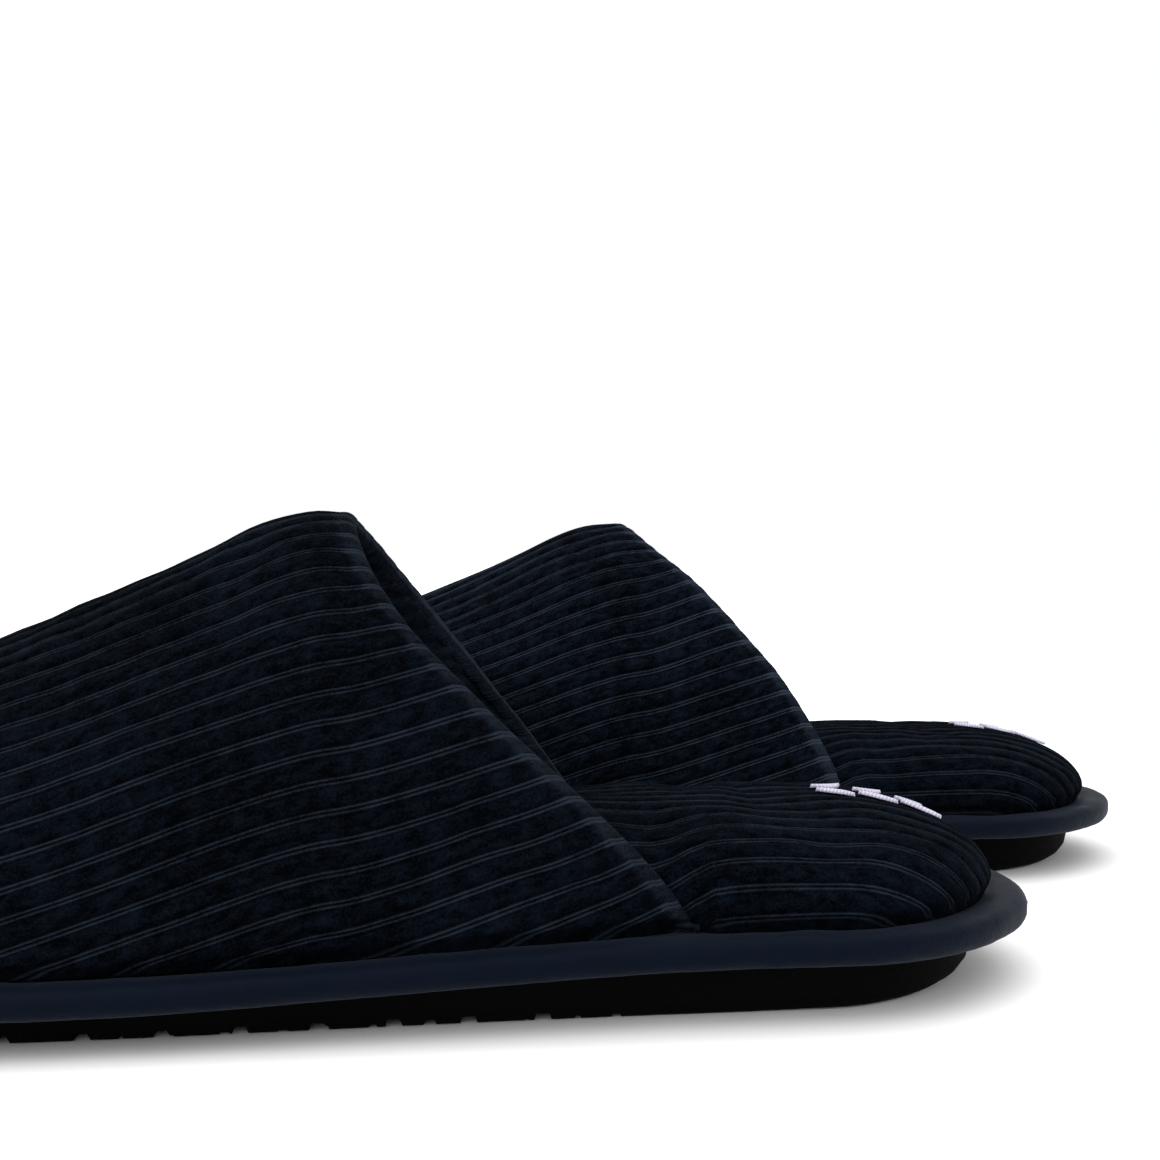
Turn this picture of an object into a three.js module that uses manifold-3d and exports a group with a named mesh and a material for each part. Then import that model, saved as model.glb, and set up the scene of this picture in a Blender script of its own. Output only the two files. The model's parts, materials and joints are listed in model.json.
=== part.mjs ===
// A pair of closed-toe mule slippers: a rubber outsole, a bound sole sandwich, a domed
// cushioned footbed and a padded corduroy vamp on each foot. Millimetres, +Z up. The toes
// point to -X, the left slipper lies on the -Y side and the right one is its mirror image.
// Inside this file a place along a slipper is its distance from the heel tip ("along"),
// and a place across it is positive toward the outer (lateral) side of the foot.
import * as THREE from 'three';
import { mergeVertices } from 'three/addons/utils/BufferGeometryUtils.js';
import Module from 'manifold-3d';

const wasm = await Module();
wasm.setup();

// ---- driving dimensions, mm ----
const CLEARANCE = 0.3;            // gap between two pieces that touch on the real slipper

const LENGTH = 290;               // heel tip to toe tip, outside the binding
const HEEL_HALF_WIDTH = 45;
const HEEL_ROUND = 46;            // heel tip to the widest place of the heel
const HEEL_FULLNESS = 0.5;        // 0.55 would make the heel end a true ellipse
const WAIST_AT = 98;
const WAIST_HALF_WIDTH = 40;      // medial side only, the lateral side is nearly straight
const BALL_AT = 203;
const BALL_LATERAL = 53;
const BALL_MEDIAL = 51;
const TOE_FULLNESS = 0.56;
const TOE_SHIFT = 5;              // the toe tip lies this far to the medial side
const TOE_TIP_LATERAL = 32;       // how flat the toe's end is on each side
const TOE_TIP_MEDIAL = 41;
const BALL_PULL = 41;             // lengths of the outline's tangents behind the ball,
const WAIST_PULL = 34;            // forward of the waist,
const HEEL_PULL = 20;             // and between the waist and the heel

const SOLE_HEEL_HEIGHT = 10.9;    // ground to the underside of the binding
const SOLE_FORE_HEIGHT = 6.9;
const WEDGE_START = 75;           // the sole's height falls between these two places
const WEDGE_END = 165;
const OUTSOLE_INSET = 11;         // from the outside of the binding
const GROOVE_WIDTH = 3;
const GROOVE_DEPTH = 1.8;
const GROOVE_PITCH = 13;
const GROOVES_START = 98;
const GROOVES_END_MARGIN = 30;    // from the toe tip

const BINDING_WALL = 1.1;
const BINDING_TURN_UNDER = 16;    // how far it reaches in below the board
const FLANGE = 7.2;               // how far it reaches in over the sole sandwich
const BOARD_THICKNESS = 1.2;
const MIDSOLE_THICKNESS = 1.3;

const COVER_THICKNESS = 1.6;
const CROWN_HEEL = 17.5;          // footbed crown above the binding's top
const CROWN_FORE = 9;
const CROWN_RISE = 36;            // length over which the crown rises from each end
const CROWN_FALL_START = 125;     // the crown sinks from heel to forefoot height between these
const CROWN_FALL_END = 215;

const APEX_AT = 134;              // highest place of the vamp
const APEX_HEIGHT = 92;
const TOE_CAP_LENGTH = 48;        // the ridge turns down over this length
const TOE_CAP_HEIGHT = 54;
const ROUND_SECTION = { wall: 0.6, squareness: 2.6, ridge: 1 };     // the vamp at its mouth
const ROOF_SECTION = { wall: 0.42, squareness: 5, ridge: 0.25 };    // and where it has sunk in
const ROOF_START = 134;           // the section turns from round to roof-like between these,
const ROOF_FULL = 170;
const ROOF_END = 225;             // and back to round over the toe cap
const FOOTBED_SECTION = { wall: 1, squareness: 3, ridge: 1 };
const VAMP_FABRIC = 1.6;
const VAMP_PADDING = 2.7;
const LINING_FABRIC = 1.4;
const HEM_WIDTH = 3;
const TOPLINE_LATERAL_FOOT = 70.5; // where the mouth's edge meets the binding
const TOPLINE_MEDIAL_FOOT = 79;
const TOPLINE_FOOT_LEAN = 7;      // the edge leans forward by this over its first stretch,
const TOPLINE_FOOT_RISE = 17.5;   // which is this high
const TOPLINE_TOP_DROP = 26;      // and is steep again over this height below the apex
const TOPLINE_LATERAL_PULL = 3;   // how far back it swings there on each side
const TOPLINE_MEDIAL_PULL = 13;

const MOTIF_AT = 30;              // embroidered motif on the heel of the footbed
const MOTIF_LENGTH = 24;
const MOTIF_WIDTH = 34;
const MOTIF_THICKNESS = 0.7;

const PAIR_SPACING = 110.8;       // between the two centre lines
const STAGGER = 65.4;             // the right slipper stands this far back

// ---- values that follow from them ----
const CHANNEL = BOARD_THICKNESS + MIDSOLE_THICKNESS + 3 * CLEARANCE;
const BINDING_HEIGHT = CHANNEL + 2 * BINDING_WALL;
const BOARD_INSET = BINDING_WALL + CLEARANCE;
const BOARD_BASE = BINDING_WALL + CLEARANCE;
const MIDSOLE_BASE = BOARD_BASE + BOARD_THICKNESS + CLEARANCE;
const SEAT = MIDSOLE_BASE + MIDSOLE_THICKNESS + CLEARANCE;
const VAMP_INSET = FLANGE + CLEARANCE;
const PADDING_INSET = VAMP_INSET + VAMP_FABRIC + CLEARANCE;
const LINING_INSET = PADDING_INSET + VAMP_PADDING + CLEARANCE;
const VAMP_INSIDE = LINING_INSET + LINING_FABRIC;
const ROOM_FOR_VAMP = VAMP_INSIDE + CLEARANCE - VAMP_INSET;
const ROOM_BEFORE_FOOT = 2.5;     // the footbed is narrow this far behind the vamp's foot
const ROOM_STEP = 9;              // and widens to the binding over this length
const FAR_BELOW = -30;

const colours = {
  rubber: 0x141210, board: 0x8a7a5c, foam: 0xd9d4c4, padding: 0xe4e1d8, corduroy: 0x1a202b,
  lining: 0x11151d, binding: 0x232a38, thread: 0xcfcde0,
};
const materials = {};
for (const [name, colour] of Object.entries(colours)) {
  const roughness = name === 'binding' ? 0.6 : 0.9;
  materials[name] = new THREE.MeshStandardMaterial({ color: colour, roughness, metalness: 0 });
}

function smoothStep(from, to, value) {
  const share = THREE.MathUtils.clamp((value - from) / (to - from), 0, 1);
  return share * share * (3 - 2 * share);
}

// Height of the binding's underside above the ground: a wedge between two level stretches.
function soleHeight(along) {
  const inWedge = THREE.MathUtils.clamp(along, WEDGE_START, WEDGE_END);
  return THREE.MathUtils.mapLinear(
    inWedge, WEDGE_START, WEDGE_END, SOLE_HEEL_HEIGHT, SOLE_FORE_HEIGHT);
}

const bindingTop = (along) => soleHeight(along) + BINDING_HEIGHT;
const seatHeight = (along) => soleHeight(along) + SEAT;

// The plan outline outside the binding, from the heel tip round by the lateral side.
function planShape() {
  const shape = new THREE.Shape();
  const heelPull = HEEL_ROUND * (1 - HEEL_FULLNESS);
  const heelSwell = HEEL_HALF_WIDTH * HEEL_FULLNESS;
  const toePull = BALL_AT + TOE_FULLNESS * (LENGTH - BALL_AT);
  const toe = [LENGTH, -TOE_SHIFT];
  shape.moveTo(0, 0);
  shape.bezierCurveTo(0, heelSwell, heelPull, HEEL_HALF_WIDTH, HEEL_ROUND, HEEL_HALF_WIDTH);
  shape.bezierCurveTo(
    WAIST_AT, HEEL_HALF_WIDTH, BALL_AT - BALL_PULL, BALL_LATERAL, BALL_AT, BALL_LATERAL);
  shape.bezierCurveTo(toePull, BALL_LATERAL, LENGTH, TOE_TIP_LATERAL, ...toe);
  shape.bezierCurveTo(LENGTH, -TOE_TIP_MEDIAL, toePull, -BALL_MEDIAL, BALL_AT, -BALL_MEDIAL);
  shape.bezierCurveTo(
    BALL_AT - BALL_PULL, -BALL_MEDIAL, WAIST_AT + WAIST_PULL, -WAIST_HALF_WIDTH,
    WAIST_AT, -WAIST_HALF_WIDTH);
  shape.bezierCurveTo(
    WAIST_AT - HEEL_PULL, -WAIST_HALF_WIDTH, HEEL_ROUND + HEEL_PULL, -HEEL_HALF_WIDTH,
    HEEL_ROUND, -HEEL_HALF_WIDTH);
  shape.bezierCurveTo(heelPull, -HEEL_HALF_WIDTH, 0, -heelSwell, 0, 0);
  return shape;
}

const OUTLINE_POINTS = 600;
const plan = planShape().getSpacedPoints(OUTLINE_POINTS).slice(0, OUTLINE_POINTS);

// The plan outline moved inward, by a distance that may depend on the place along the foot.
function insetPlan(distanceAt) {
  return plan.map((point, i) => {
    const before = plan[(i + OUTLINE_POINTS - 1) % OUTLINE_POINTS];
    const after = plan[(i + 1) % OUTLINE_POINTS];
    const run = after.clone().sub(before).normalize();
    const inward = new THREE.Vector2(run.y, -run.x);
    return point.clone().addScaledVector(inward, distanceAt(point));
  });
}

const END_STEPS = 4;

// Cross-sections stand at these places: close together at the round ends, and at both ends
// of the wedge, so that the faces of neighbouring pieces stay parallel.
function stationList() {
  const list = [
    TOPLINE_LATERAL_FOOT - ROOM_BEFORE_FOOT, TOPLINE_MEDIAL_FOOT - ROOM_BEFORE_FOOT,
    WEDGE_START, (WEDGE_START + WEDGE_END) / 2, APEX_AT, WEDGE_END, (WEDGE_END + BALL_AT) / 2,
  ];
  for (let i = 1; i <= END_STEPS; i += 1) {
    const turn = (Math.PI * i) / (2 * END_STEPS);
    list.push(HEEL_ROUND * (1 - Math.cos(turn)));
    list.push(LENGTH - (LENGTH - BALL_AT) * (1 - Math.cos(turn)));
  }
  return list.sort((a, b) => a - b);
}

const stations = stationList();

// Linear reading of a list of points sorted by x.
function valueAt(points, x) {
  const after = points.findIndex((point) => point.x >= x);
  if (after === 0) return points[0].y;
  if (after < 0) return points[points.length - 1].y;
  const a = points[after - 1];
  const b = points[after];
  return THREE.MathUtils.mapLinear(x, a.x, b.x, a.y, b.y);
}

function toSolid(geometry, place) {
  geometry.deleteAttribute('normal');
  geometry.deleteAttribute('uv');
  const merged = mergeVertices(geometry, 1e-4);
  const position = merged.attributes.position;
  const vertex = new THREE.Vector3();
  for (let i = 0; i < position.count; i += 1) {
    vertex.fromBufferAttribute(position, i);
    place(vertex);
    position.setXYZ(i, vertex.x, vertex.y, vertex.z);
  }
  return new wasm.Manifold(new wasm.Mesh({
    numProp: 3,
    vertProperties: new Float32Array(position.array),
    triVerts: new Uint32Array(merged.index.array),
  }));
}

// A section swept along the foot. Across, the section runs from -1 at the medial edge of the
// inset outline to 1 at its lateral edge. Its own height becomes the height above the ground.
function sweep({ section, insetAt, from = 0, acrossAt = (along, share) => share, heightAt }) {
  const outline = insetPlan(insetAt);
  const toeIndex = outline.reduce((best, p, i) => (p.x > outline[best].x ? i : best), 0);
  const lateral = outline.slice(0, toeIndex + 1);
  const medial = [outline[0], ...outline.slice(toeIndex).reverse()];
  const start = Math.max(from, outline[0].x + CLEARANCE);
  const end = outline[toeIndex].x - CLEARANCE;
  const inner = stations.filter((along) => along > start + 1 && along < end - 1);
  const places = [start, ...inner, end];
  const geometry = new THREE.ExtrudeGeometry(section, {
    depth: places.length - 1, steps: places.length - 1, bevelEnabled: false,
  });
  return toSolid(geometry, (v) => {
    const along = places[Math.round(v.z)];
    const share = acrossAt(along, v.x);
    const across = THREE.MathUtils.mapLinear(
      share, -1, 1, valueAt(medial, along), valueAt(lateral, along));
    v.set(along, across, heightAt(along, v.y, share));
  });
}

// An upright slab of the inset outline between two height functions.
function slab(inset, bottomAt, topAt) {
  const section = new THREE.Shape();
  section.moveTo(-1, 0).lineTo(1, 0).lineTo(1, 1).lineTo(-1, 1);
  return sweep({
    section, insetAt: () => inset,
    heightAt: (along, level) => (level < 0.5 ? bottomAt(along) : topAt(along)),
  });
}

// A section's height from 0 to 1: half a superellipse for the walls, and a roof on top that
// falls from the middle to the sides, rounded over its ridge.
function sectionLevel({ wall, squareness, ridge }, upright, share) {
  const fall = (Math.hypot(share, ridge) - ridge) / (Math.hypot(1, ridge) - ridge);
  return wall * upright ** (2 / squareness) + (1 - wall) * (1 - fall);
}

// A long dome with upright sides up to the binding's top and a rounded section above it.
const SECTION_STEPS = 10;
function dome({ insetAt, from, sectionAt, crestAt, floorAt }) {
  const section = new THREE.Shape();
  section.moveTo(-1, -1).lineTo(1, -1).lineTo(1, 0);
  for (let i = 1; i < SECTION_STEPS; i += 1) {
    const turn = (Math.PI * i) / SECTION_STEPS;
    section.lineTo(Math.cos(turn), Math.sin(turn));
  }
  section.lineTo(-1, 0);
  return sweep({
    section, insetAt, from,
    acrossAt: (along, share) => (
      Math.sign(share) * Math.abs(share) ** (2 / sectionAt(along).squareness)),
    heightAt: (along, upright, share) => (upright < 0 ? floorAt(along)
      : THREE.MathUtils.lerp(
        bindingTop(along), crestAt(along), sectionLevel(sectionAt(along), upright, share))),
  });
}

// ---- the sole sandwich ----
function outsole() {
  const top = (along) => soleHeight(along) - CLEARANCE;
  const plateauTop = (along) => soleHeight(along) + BOARD_BASE - CLEARANCE;
  const plateauInset = BINDING_TURN_UNDER + CLEARANCE;
  let solid = slab(OUTSOLE_INSET, () => 0, top);
  solid = solid.add(slab(plateauInset, () => GROOVE_DEPTH, plateauTop));
  for (let at = GROOVES_START; at < LENGTH - GROOVES_END_MARGIN; at += GROOVE_PITCH) {
    const groove = new THREE.BoxGeometry(GROOVE_WIDTH, 4 * BALL_LATERAL, 2 * GROOVE_DEPTH);
    solid = solid.subtract(toSolid(groove, (v) => {
      v.x += at;
    }));
  }
  return solid;
}

function soleLayer(base, thickness) {
  return slab(
    BOARD_INSET, (along) => soleHeight(along) + base,
    (along) => soleHeight(along) + base + thickness);
}

// A fabric channel round the edge of the board and the midsole, open above and below.
function binding() {
  const lift = (height) => (along) => soleHeight(along) + height;
  const middle = BINDING_HEIGHT / 2;
  const channel = slab(BINDING_WALL, lift(BINDING_WALL), lift(BINDING_HEIGHT - BINDING_WALL));
  const above = slab(FLANGE, lift(middle), lift(2 * BINDING_HEIGHT));
  const below = slab(BINDING_TURN_UNDER, lift(-BINDING_HEIGHT), lift(middle));
  return slab(0, lift(0), bindingTop).subtract(channel).subtract(above).subtract(below);
}

// ---- the footbed ----
function footbedCrest(lower) {
  return (along) => {
    const fall = smoothStep(CROWN_FALL_START, CROWN_FALL_END, along);
    const crown = THREE.MathUtils.lerp(CROWN_HEEL, CROWN_FORE, fall);
    const fromToe = LENGTH - VAMP_INSET - ROOM_FOR_VAMP - along;
    const fromEnd = Math.min(along - VAMP_INSET, fromToe);
    const rise = THREE.MathUtils.clamp(fromEnd / CROWN_RISE, 0, 1);
    const height = crown * Math.sqrt(1 - (1 - rise) ** 2) - lower;
    return bindingTop(along) + Math.max(height, CLEARANCE);
  };
}

// The footbed fills the binding at the heel and leaves room for the vamp's wall forward of it.
function footbedInset(inward) {
  return (point) => {
    const foot = point.y > 0 ? TOPLINE_LATERAL_FOOT : TOPLINE_MEDIAL_FOOT;
    const narrowFrom = foot - ROOM_BEFORE_FOOT;
    const room = smoothStep(narrowFrom - ROOM_STEP, narrowFrom, point.x);
    return VAMP_INSET + inward + ROOM_FOR_VAMP * room;
  };
}

function footbedDome(inward, floorAt) {
  return dome({
    insetAt: footbedInset(Math.max(inward, 0)), from: 0, sectionAt: () => FOOTBED_SECTION,
    crestAt: footbedCrest(inward), floorAt,
  });
}

const footbedCushion = () => footbedDome(COVER_THICKNESS + CLEARANCE, seatHeight);

function insoleCover() {
  return footbedDome(0, seatHeight).subtract(footbedDome(COVER_THICKNESS, () => FAR_BELOW));
}

function heelMotif() {
  const outline = new THREE.CylinderGeometry(1, 1, 1, 20).rotateX(Math.PI / 2);
  const prism = toSolid(outline, (v) => {
    v.x = MOTIF_AT + v.x * (MOTIF_LENGTH / 2);
    v.y *= MOTIF_WIDTH / 2;
    v.z = v.z > 0 ? APEX_HEIGHT : 0;
  });
  const top = footbedDome(-CLEARANCE - MOTIF_THICKNESS, () => 0);
  return top.subtract(footbedDome(-CLEARANCE, () => FAR_BELOW)).intersect(prism);
}

// ---- the vamp ----
const VAMP_START = TOPLINE_LATERAL_FOOT - HEM_WIDTH;

// The vamp's ridge, seen from the side: level, then falling to the toe cap, then round it.
function vampCrest(depth) {
  const capStart = LENGTH - VAMP_INSET - TOE_CAP_LENGTH;
  const slope = (APEX_HEIGHT - TOE_CAP_HEIGHT) / (capStart - APEX_AT);
  const tip = LENGTH - VAMP_INSET - depth;
  const foot = bindingTop(LENGTH);
  const pull = TOE_CAP_LENGTH / 2;
  const path = new THREE.Path();
  path.moveTo(0, APEX_HEIGHT - depth);
  path.lineTo(APEX_AT, APEX_HEIGHT - depth);
  path.lineTo(capStart, TOE_CAP_HEIGHT - depth);
  path.bezierCurveTo(
    capStart + pull, TOE_CAP_HEIGHT - depth - slope * pull, tip, foot + pull, tip, foot);
  const points = path.getPoints(10);
  return (along) => valueAt(points, along);
}

function vampSection(along) {
  const roof = smoothStep(ROOF_START, ROOF_FULL, along) * (1 - smoothStep(ROOF_END, LENGTH, along));
  const mixed = (name) => THREE.MathUtils.lerp(ROUND_SECTION[name], ROOF_SECTION[name], roof);
  return { wall: mixed('wall'), squareness: mixed('squareness'), ridge: mixed('ridge') };
}

function vampDome(depth, from, floorAt) {
  return dome({
    insetAt: () => VAMP_INSET + depth, from, sectionAt: vampSection,
    crestAt: vampCrest(depth), floorAt,
  });
}

// One side's mouth edge seen from the side, from inside the binding up to just over the apex.
const EDGE_STEPS = 14;
function toplinePoints(foot, topPull) {
  const bottom = bindingTop(foot);
  const curve = new THREE.CubicBezierCurve(
    new THREE.Vector2(foot, bottom - BINDING_WALL),
    new THREE.Vector2(foot + TOPLINE_FOOT_LEAN, bottom + TOPLINE_FOOT_RISE),
    new THREE.Vector2(APEX_AT - topPull, APEX_HEIGHT - TOPLINE_TOP_DROP),
    new THREE.Vector2(APEX_AT, APEX_HEIGHT + CLEARANCE));
  return curve.getPoints(EDGE_STEPS);
}

// Everything behind the mouth's edge, moved toward the toe by a distance. The edge's foot is
// further forward on the medial side, so the two ends of the cutter differ.
function mouthCutter(forward) {
  const lateral = toplinePoints(TOPLINE_LATERAL_FOOT, TOPLINE_LATERAL_PULL);
  const medial = toplinePoints(TOPLINE_MEDIAL_FOOT, TOPLINE_MEDIAL_PULL);
  const readable = (points) => points.map((p) => new THREE.Vector2(p.y, p.x));
  const outer = readable(lateral);
  const inner = readable(medial);
  const far = 2 * HEEL_HALF_WIDTH;
  const spread = far / (HEEL_HALF_WIDTH - FLANGE);
  const back = -LENGTH;
  const shape = new THREE.Shape();
  shape.moveTo(back, FAR_BELOW);
  shape.lineTo(lateral[0].x, FAR_BELOW);
  lateral.forEach((p) => shape.lineTo(p.x, p.y));
  shape.lineTo(APEX_AT, 2 * APEX_HEIGHT);
  shape.lineTo(back, 2 * APEX_HEIGHT);
  const geometry = new THREE.ExtrudeGeometry(shape, { depth: 1, bevelEnabled: false });
  return toSolid(geometry, (v) => {
    const side = v.z < 0.5 ? 1 : -1;
    const middle = (valueAt(outer, v.y) + valueAt(inner, v.y)) / 2;
    const half = (valueAt(outer, v.y) - valueAt(inner, v.y)) / 2;
    const edge = middle + side * spread * half + forward;
    v.set(v.x === back ? back : edge, side * far, v.y);
  });
}

function vampLayer(depth, thickness) {
  const outside = vampDome(depth, VAMP_START, seatHeight);
  const inside = vampDome(depth + thickness, VAMP_START - HEM_WIDTH, () => FAR_BELOW);
  return outside.subtract(inside);
}

function wallLayer(inset, thickness) {
  const behindEdge = mouthCutter(HEM_WIDTH + CLEARANCE);
  return vampLayer(inset - VAMP_INSET, thickness).subtract(behindEdge);
}

function toplineHem() {
  const wall = vampLayer(0, VAMP_INSIDE - VAMP_INSET);
  return wall.subtract(mouthCutter(0)).intersect(mouthCutter(HEM_WIDTH));
}

// ---- the pair ----
const PIECES = [
  ['outsole', outsole(), 'rubber'],
  ['insole_board', soleLayer(BOARD_BASE, BOARD_THICKNESS), 'board'],
  ['midsole_sheet', soleLayer(MIDSOLE_BASE, MIDSOLE_THICKNESS), 'foam'],
  ['rim_binding', binding(), 'binding'],
  ['footbed_cushion', footbedCushion(), 'foam'],
  ['insole_cover', insoleCover(), 'corduroy'],
  ['heel_embroidery', heelMotif(), 'thread'],
  ['vamp_outer', wallLayer(VAMP_INSET, VAMP_FABRIC), 'corduroy'],
  ['vamp_padding', wallLayer(PADDING_INSET, VAMP_PADDING), 'padding'],
  ['vamp_lining', wallLayer(LINING_INSET, LINING_FABRIC), 'lining'],
  ['topline_hem', toplineHem(), 'lining'],
];

function pieceMesh(name, solid, materialName, mirrored) {
  const { vertProperties, triVerts } = solid.getMesh();
  const position = Float32Array.from(vertProperties);
  const index = Array.from(triVerts);
  if (mirrored) {
    for (let i = 1; i < position.length; i += 3) position[i] *= -1;
    index.reverse();
  }
  const geometry = new THREE.BufferGeometry();
  geometry.setAttribute('position', new THREE.BufferAttribute(position, 3));
  geometry.setIndex(index);
  geometry.computeVertexNormals();
  const mesh = new THREE.Mesh(geometry, materials[materialName]);
  mesh.name = name;
  return mesh;
}

function slipper(prefix, side, heelX) {
  const group = new THREE.Group();
  for (const [name, solid, materialName] of PIECES) {
    group.add(pieceMesh(`${prefix}_${name}`, solid, materialName, side > 0));
  }
  group.rotation.z = Math.PI;
  group.position.set(heelX, (side * PAIR_SPACING) / 2, 0);
  return group;
}

const pair = new THREE.Group();
const halfReach = (LENGTH + STAGGER) / 2;
pair.add(slipper('left', -1, halfReach - STAGGER));
pair.add(slipper('right', 1, halfReach));

export default pair;
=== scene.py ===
"""A pair of closed-toe mule slippers in ribbed navy velour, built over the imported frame."""

import json
import math

import bmesh
import bpy
import numpy as np
from mathutils import Euler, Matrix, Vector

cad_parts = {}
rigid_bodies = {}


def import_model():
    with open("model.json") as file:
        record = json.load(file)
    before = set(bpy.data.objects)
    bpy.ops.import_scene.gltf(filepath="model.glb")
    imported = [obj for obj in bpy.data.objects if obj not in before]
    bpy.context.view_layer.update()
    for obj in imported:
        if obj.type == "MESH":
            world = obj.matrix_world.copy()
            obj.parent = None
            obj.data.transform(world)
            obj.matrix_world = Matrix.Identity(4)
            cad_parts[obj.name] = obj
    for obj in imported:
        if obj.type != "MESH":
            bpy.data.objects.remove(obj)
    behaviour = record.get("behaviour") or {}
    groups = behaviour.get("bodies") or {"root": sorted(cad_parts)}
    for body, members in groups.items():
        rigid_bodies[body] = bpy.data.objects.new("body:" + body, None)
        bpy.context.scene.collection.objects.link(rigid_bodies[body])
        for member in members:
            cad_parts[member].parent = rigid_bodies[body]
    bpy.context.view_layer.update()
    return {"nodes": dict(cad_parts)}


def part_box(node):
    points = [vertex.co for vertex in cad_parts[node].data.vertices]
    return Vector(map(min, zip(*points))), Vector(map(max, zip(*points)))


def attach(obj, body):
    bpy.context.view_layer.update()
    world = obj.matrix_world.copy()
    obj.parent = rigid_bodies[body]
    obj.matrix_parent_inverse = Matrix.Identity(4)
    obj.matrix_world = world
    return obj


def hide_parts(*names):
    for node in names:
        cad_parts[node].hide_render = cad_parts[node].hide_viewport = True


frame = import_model()

bl_info = {
    "name": "Ribbed Mule Slippers",
    "version": (1, 0, 0),
    "blender": (4, 5, 0),
    "location": "3D View > Sidebar > Slippers",
    "description": "Builds a pair of padded, ribbed mule slippers piece by piece",
    "category": "Object",
}

MM = 0.001
SIDES = ("left", "right")

# ---- the last: lengths in mm, along from the heel tip, across toward the outer side ----
LENGTH = 290.0
BALL_LATERAL = 53.0
TOE_SHIFT = 5.0
OUTLINE = (
    ((0, 0), (0, 22.5), (23, 45), (46, 45)),
    ((46, 45), (98, 45), (162, 53), (203, 53)),
    ((203, 53), (251.7, 53), (290, 32), (290, -TOE_SHIFT)),
    ((290, -TOE_SHIFT), (290, -41), (251.7, -51), (203, -51)),
    ((203, -51), (162, -51), (132, -41.3), (98, -41.3)),
    ((98, -41.3), (78, -41.3), (66, -45), (46, -45)),
    ((46, -45), (23, -45), (0, -22.5), (0, 0)),
)
OUTLINE_POINTS = 900

# ---- sole and binding ----
WEDGE = (58.0, 182.0)
BAND_HEIGHT = 5.6
BAND_ROUND = 0.84
BAND_WALL = 0.9
TURN_UNDER = 16.0
BAND_COLUMNS = 450
OUTSOLE_INSET = 11.0
OUTSOLE_COLUMNS = 90
DRAFT_FORE, DRAFT_HEEL = 3.0, 6.5
DRAFT_AT = (10.0, 70.0)
SOLE_LEVELS = (0.0, 0.05, 0.16, 0.35, 0.6, 0.85, 1.0)
SOLE_GAP = 0.12
GROOVES = (98.0, 260.0, 13.0)
GROOVE_WIDTH, GROOVE_DEPTH = 3.0, 1.8
GROOVE_FLOOR = 0.36
NICKS = (84.0, 176.0, 8.5)
NICK_DRIFT, NICK_WIDTH, NICK_DEPTH = 1.6, (1.1, 2.2), (0.5, 1.2)
NICK_SEED = 5

# ---- vamp and mouth, each side named 1 for lateral and -1 for medial ----
FLANGE = 7.2
WALL = 6.6
CAP_LENGTH = 48.0
CAP_HEIGHT = 54.0
CREST_EASE, CREST_ROUND, CREST_EASE_RUN = 2.2, 8.0, 0.8
ROOF_START, ROOF_FULL, ROOF_END = 112.0, 184.0, 225.0
MOUTH_SECTION, ROOF_SECTION = (0.6, 2.6, 1.0), (0.42, 5.0, 0.25)
VAMP_START = 56.0
TIP_GAP = 0.02
FOOT = {1: 70.5, -1: 79.0}
FOOT_SINK, FOOT_RISE = 1.1, 17.5
FOOT_LEAN = {"left": {1: 6.0, -1: 9.0}, "right": {1: 7.0, -1: 3.0}}
TOP_PULL = {"left": {1: 8.0, -1: 20.0}, "right": {1: 4.0, -1: 32.0}}
TOP_DROP = {1: 26.0, -1: 23.0}
TOP_LIFT = 0.9
RIB_RISE = (0.85, 0.36)
RIB_RISE_SPREAD = 75.0
RIB_RISE_EASE = 8.0
VAMP_COLUMNS = 54
ROLL_TURN, ROLL_STEPS = math.pi * 1.04, 11
SEAM_SINK, SEAM_SINK_RUN = 0.9, 1.6
# Gain on each slipper's vamp velour: the right slipper's copy is painted lighter, as painted light
# against the shade the left slipper throws on it.
PAINTED_LIGHT_BY_SIDE = {"left": 1.0, "right": 1.6}

# ---- lining and hem ----
LINING_DEPTH = WALL - 1.2
LINING_ROWS, LINING_COLUMNS, LINING_START = 111, 64, 4.5
HEM_COLUMNS, HEM_WIDTH = 16, 11.0

# ---- footbed and its motif ----
CROWN_FALL = (125.0, 215.0)
CROWN_RISE = 36.0
FOOTBED_SQUARENESS = 2.75
FOOTBED_COLUMNS = 112
HIDDEN_FROM = (150.0, 190.0)
MOTIF_MIDDLE, MOTIF_REACH = 30.0, (24.0, 14.0)
LEAVES_AT = (38.5, 30.0, 21.5)
LEAF_OUT = 4.4
LEAF_LEAN = 0.55
LEAF_SIZE = (8.0, 2.1)
LEAF_BEND = 1.2
LEAF_COLUMNS, LEAF_ROWS = 60, 9

# ---- cloth ----
CLOTH_PRESSURE = 4.0
CLOTH_EASE = -0.01
CLOTH_FRAMES = 20
CLOTH_QUALITY = 5
VAMP_CLOTH = {"columns": 34, "rows": 46, "cap": 1.0}
FOOTBED_CLOTH = {"columns": 58, "rows": 24, "cap": 0.7}
VAMP_CLOTH_SPAN = 0.92
FOOTBED_CLOTH_EDGE = 3.0


def size(name):
    """One of the panel's sizes, in mm."""
    return getattr(bpy.context.scene.slipper_sizes, name) / MM


def smooth_step(start, end, value):
    share = np.clip((value - start) / (end - start), 0.0, 1.0)
    return share * share * (3 - 2 * share)


def mix(a, b, share):
    return a + (b - a) * share


def eased(start, end, count):
    """Values from start to end, closer together toward both."""
    return mix(start, end, (1 - np.cos(np.linspace(0, math.pi, count))) / 2)


def across_at(line, along):
    """What a line of points along and across (or up) reads at places along."""
    return np.interp(along, line[:, 0], line[:, 1])


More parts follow.
